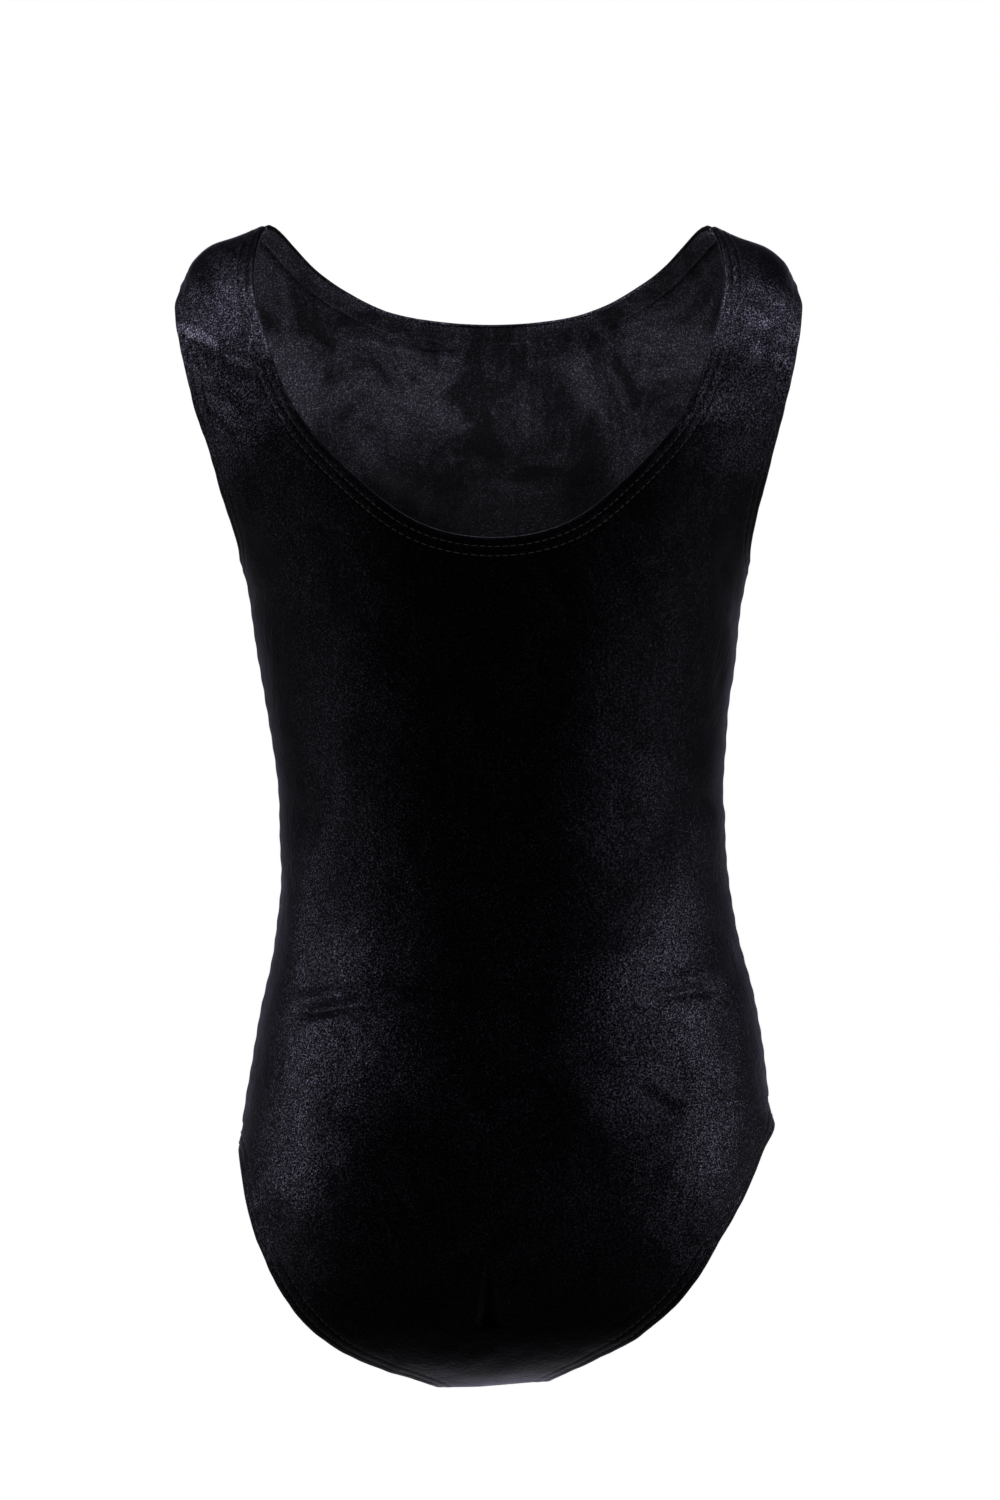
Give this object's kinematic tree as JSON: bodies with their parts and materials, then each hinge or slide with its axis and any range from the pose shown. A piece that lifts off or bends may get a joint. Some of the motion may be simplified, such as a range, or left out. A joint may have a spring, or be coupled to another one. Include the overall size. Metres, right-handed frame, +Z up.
{
  "type": "gymnastics leotard",
  "caption": "Sleeveless stretch velvet gymnastics leotard with scooped neck, tank straps, elasticated hems and twin-needle topstitching.",
  "frame": {"origin": "midway between the two shoulder straps, at the level of the inner side of the shoulder seams, where a hanger or a wearer's shoulders carry the garment", "axes": "+X to the right as seen from the front, -Y out of the front, +Z up towards the shoulders"},
  "size_m": [0.2856, 0.1665, 0.5222],
  "materials": {
    "velvet": "black stretch velvet, knitted, with a short dense pile and a blue-grey sheen",
    "lining": "thin matt knitted lining, dark grey",
    "elastic": "narrow knitted swimwear elastic, natural grey",
    "seam": "velvet seam allowances oversewn together with black thread",
    "thread": "black polyester sewing thread with a slight lustre"
  },
  "bodies": {
    "root": {"front_panel": "velvet", "back_panel": "velvet", "crotch_lining": "lining", "neck_hem": "velvet", "left_arm_hem": "velvet", "right_arm_hem": "velvet", "left_leg_hem": "velvet", "right_leg_hem": "velvet", "neck_elastic": "elastic", "left_arm_elastic": "elastic", "right_arm_elastic": "elastic", "left_leg_elastic": "elastic", "right_leg_elastic": "elastic", "left_side_seam": "seam", "right_side_seam": "seam", "left_shoulder_seam": "seam", "right_shoulder_seam": "seam", "crotch_seam": "seam", "neck_stitching": "thread", "left_arm_stitching": "thread", "right_arm_stitching": "thread", "left_leg_stitching": "thread", "right_leg_stitching": "thread"}
  },
  "joints": []
}
